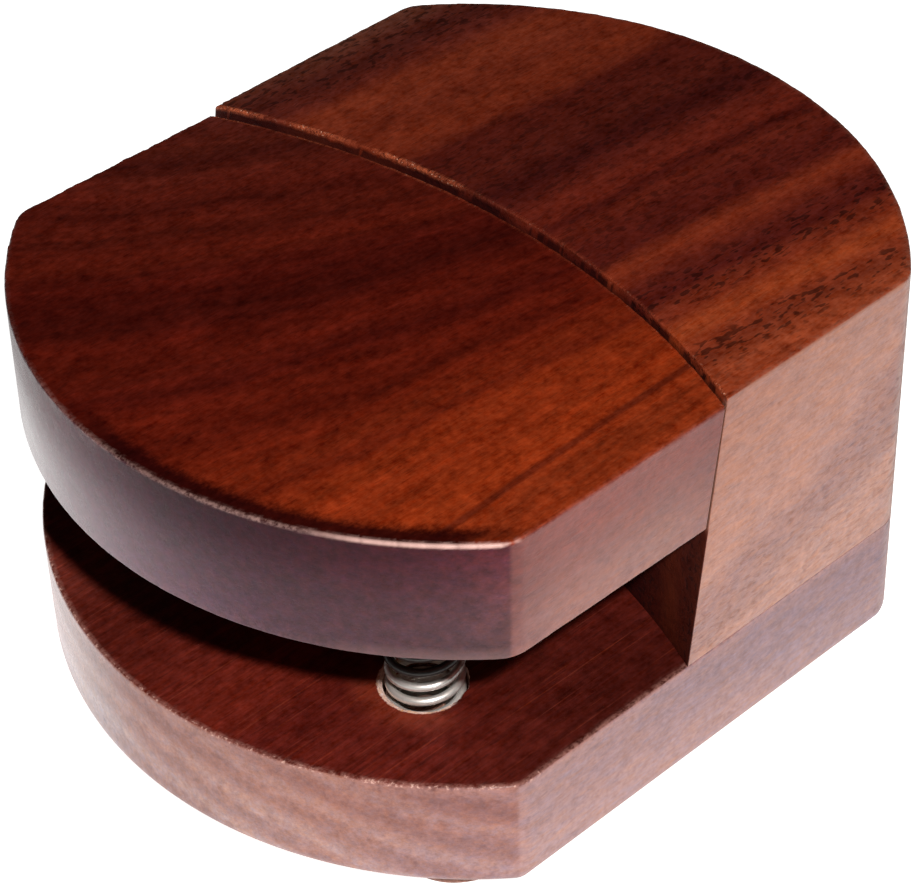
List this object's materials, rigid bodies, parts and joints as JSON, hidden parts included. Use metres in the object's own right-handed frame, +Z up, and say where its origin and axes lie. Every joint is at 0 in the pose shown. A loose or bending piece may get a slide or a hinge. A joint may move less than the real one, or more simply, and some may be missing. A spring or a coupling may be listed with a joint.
{
  "type": "sprung leather clamp",
  "caption": "Palm-size wooden hand clamp: a curved-front jaw board hinged to a solid rear block, held open over a base board by coil springs.",
  "frame": {"origin": "centre of the footprint, at the underside of the feet", "axes": "+Z up; -Y towards the open mouth between jaw and base; +X to the right seen from the mouth"},
  "size_m": [0.08, 0.0994, 0.0513],
  "materials": {
    "walnut_base": "oiled satin walnut",
    "walnut_block": "oiled satin walnut",
    "walnut_jaw": "oiled satin walnut",
    "spring_steel": "bright drawn wire",
    "hinge_brass": "satin",
    "screw_brass": "satin",
    "screw_steel": "zinc plated",
    "pad_rubber": "matt brown",
    "seat_steel": "plain stamped washer"
  },
  "bodies": {
    "base": {"base_disc": "walnut_base", "rear_block": "walnut_block", "left_spring": "spring_steel", "right_spring": "spring_steel", "block_hinge_leaf": "hinge_brass", "hinge_pin": "hinge_brass", "block_leaf_screws": "screw_brass", "left_block_screw": "screw_steel", "right_block_screw": "screw_steel", "rear_block_screw": "screw_steel", "front_left_foot": "pad_rubber", "front_right_foot": "pad_rubber", "rear_left_foot": "pad_rubber", "rear_right_foot": "pad_rubber", "left_base_spring_seat": "seat_steel", "right_base_spring_seat": "seat_steel"},
    "jaw": {"front_jaw": "walnut_jaw", "jaw_hinge_leaf": "hinge_brass", "jaw_leaf_screws": "screw_brass", "left_jaw_spring_seat": "seat_steel", "right_jaw_spring_seat": "seat_steel"}
  },
  "joints": [
    {"name": "jaw_hinge", "type": "hinge", "parent": "base", "child": "jaw", "pos_m": [0, 0.00353, 0.03295], "axis": [1, 0, 0], "range_deg": [0, 20], "stiffness_Nm_per_rad": 3.3, "springref_deg": -5.73, "deforming": ["left_spring", "right_spring"]}
  ]
}
